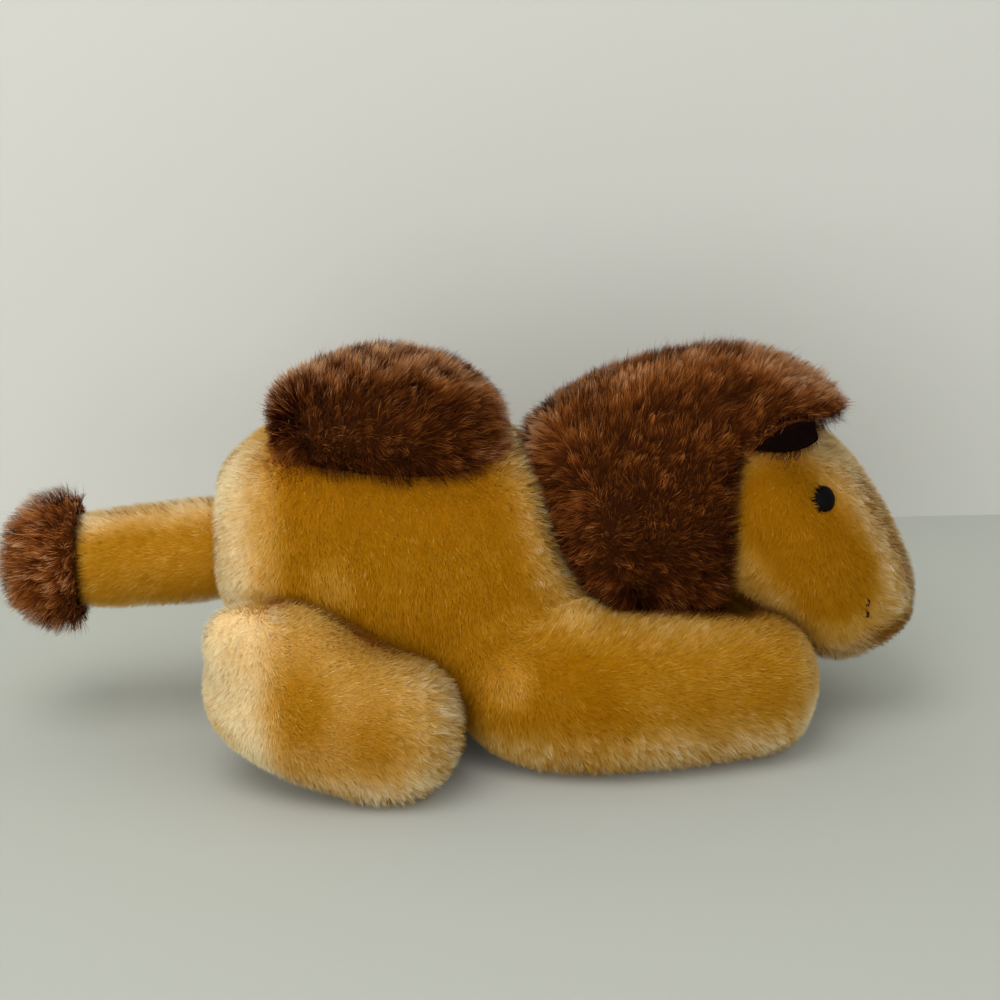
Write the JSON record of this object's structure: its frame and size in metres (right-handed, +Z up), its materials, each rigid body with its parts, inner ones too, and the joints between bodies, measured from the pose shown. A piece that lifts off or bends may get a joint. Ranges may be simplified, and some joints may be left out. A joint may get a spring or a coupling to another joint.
{
  "type": "plush camel",
  "caption": "Lying stuffed camel in golden and brown plush, with soft-jointed head, ears, legs, tail and tuft.",
  "frame": {"origin": "centre of the footprint, on the surface that the toy lies on", "axes": "+X from the rump towards the nose, the longest extent; +Y to the toy's left; +Z up"},
  "size_m": [0.228, 0.1238, 0.0956],
  "materials": {
    "gold_plush": "short golden tan pile with paler straw tips",
    "brown_plush": "long brown pile, chocolate at the root and reddish at the tips",
    "dark_felt": "thin dark brown felt",
    "filling": "loose white polyester fibre",
    "eye_plastic": "glossy black",
    "washer_plastic": "white",
    "brown_thread": "dark brown sewing thread",
    "cream_thread": "straw-coloured sewing thread"
  },
  "bodies": {
    "torso": {"rump_panel": "gold_plush", "belly_gusset": "gold_plush", "left_side_cover": "gold_plush", "right_side_cover": "gold_plush", "body_filling": "filling", "closing_thread": "cream_thread", "rear_hump_cover": "brown_plush", "rear_hump_filling": "filling", "neck_cover": "brown_plush", "neck_filling": "filling"},
    "head": {"crown_cover": "brown_plush", "nose_gusset": "gold_plush", "left_face_cover": "gold_plush", "right_face_cover": "gold_plush", "head_filling": "filling", "left_eye": "eye_plastic", "left_eye_washer": "washer_plastic", "right_eye": "eye_plastic", "right_eye_washer": "washer_plastic", "left_mouth_stitch": "brown_thread", "right_mouth_stitch": "brown_thread"},
    "left_ear": {"left_ear_back": "brown_plush", "left_ear_lining": "dark_felt"},
    "right_ear": {"right_ear_back": "brown_plush", "right_ear_lining": "dark_felt"},
    "left_front_leg": {"left_front_leg_cover": "gold_plush", "left_front_leg_filling": "filling"},
    "right_front_leg": {"right_front_leg_cover": "gold_plush", "right_front_leg_filling": "filling"},
    "left_hind_leg": {"left_hind_leg_cover": "gold_plush", "left_hind_leg_filling": "filling"},
    "right_hind_leg": {"right_hind_leg_cover": "gold_plush", "right_hind_leg_filling": "filling"},
    "tail": {"tail_cover": "gold_plush", "tail_filling": "filling"},
    "tuft": {"tail_tuft": "brown_plush"}
  },
  "joints": [
    {"name": "head_lift", "type": "hinge", "parent": "torso", "child": "head", "pos_m": [0.068, 0, 0.061], "axis": [0, -1, 0], "range_deg": [0, 15], "stiffness_Nm_per_rad": 0.12},
    {"name": "left_ear_flop", "type": "hinge", "parent": "head", "child": "left_ear", "pos_m": [0.0813, 0.0271, 0.0825], "axis": [0.2681, 0, -0.9634], "range_deg": [0, 40], "stiffness_Nm_per_rad": 0.002},
    {"name": "right_ear_flop", "type": "hinge", "parent": "head", "child": "right_ear", "pos_m": [0.0813, -0.0271, 0.0825], "axis": [-0.2681, 0, 0.9634], "range_deg": [0, 40], "stiffness_Nm_per_rad": 0.002},
    {"name": "left_front_leg_splay", "type": "hinge", "parent": "torso", "child": "left_front_leg", "pos_m": [0.013, 0.03, 0.0195], "axis": [0, 0, 1], "range_deg": [0, 20], "stiffness_Nm_per_rad": 0.06},
    {"name": "right_front_leg_splay", "type": "hinge", "parent": "torso", "child": "right_front_leg", "pos_m": [0.013, -0.03, 0.0195], "axis": [0, 0, -1], "range_deg": [0, 20], "stiffness_Nm_per_rad": 0.06},
    {"name": "left_hind_leg_lift", "type": "hinge", "parent": "torso", "child": "left_hind_leg", "pos_m": [-0.0445, 0.0365, 0.047], "axis": [1, 0, 0], "range_deg": [0, 20], "stiffness_Nm_per_rad": 0.2},
    {"name": "right_hind_leg_lift", "type": "hinge", "parent": "torso", "child": "right_hind_leg", "pos_m": [-0.0445, -0.0365, 0.047], "axis": [-1, 0, 0], "range_deg": [0, 20], "stiffness_Nm_per_rad": 0.2},
    {"name": "tail_wag", "type": "hinge", "parent": "torso", "child": "tail", "pos_m": [-0.063, 0, 0.046], "axis": [0, 0, 1], "range_deg": [-15, 15], "stiffness_Nm_per_rad": 0.03},
    {"name": "tuft_flop", "type": "hinge", "parent": "tail", "child": "tuft", "pos_m": [-0.0915, 0, 0.0438], "axis": [0, 1, 0], "range_deg": [-10, 10], "stiffness_Nm_per_rad": 0.03}
  ]
}
